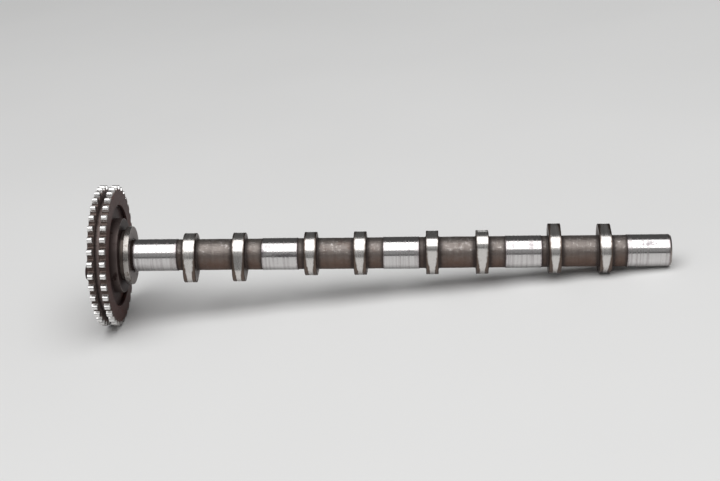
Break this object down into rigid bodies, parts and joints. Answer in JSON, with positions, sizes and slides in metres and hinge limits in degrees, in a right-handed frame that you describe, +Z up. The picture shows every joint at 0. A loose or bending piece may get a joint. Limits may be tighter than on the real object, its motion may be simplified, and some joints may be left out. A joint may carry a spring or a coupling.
{
  "type": "camshaft",
  "caption": "Overhead camshaft for a four-cylinder engine: ground journals, phased lobes and a thrust collar, with a duplex chain sprocket bolted to its front flange.",
  "frame": {"origin": "on the surface the part lies on, below the middle of its bounding box", "axes": "+X from the sprocket end to the rear journal, +Z up; the shaft's own axis lies in the XZ plane and slopes down towards +X, as it rests"},
  "size_m": [0.4668, 0.1136, 0.1143],
  "materials": {
    "cast_shaft": "rough as cast between ground and polished journals and lobes, lightly rusted",
    "sprocket_steel": "dark oiled steel with tooth tips worn bright",
    "bolt_steel": "phosphated",
    "dowel_steel": "ground",
    "pin_steel": "dark oiled steel"
  },
  "bodies": {
    "root": {"camshaft": "cast_shaft", "timing_sprocket": "sprocket_steel", "sprocket_bolts": "bolt_steel", "locating_dowel": "dowel_steel", "trigger_pin": "pin_steel"}
  },
  "joints": []
}
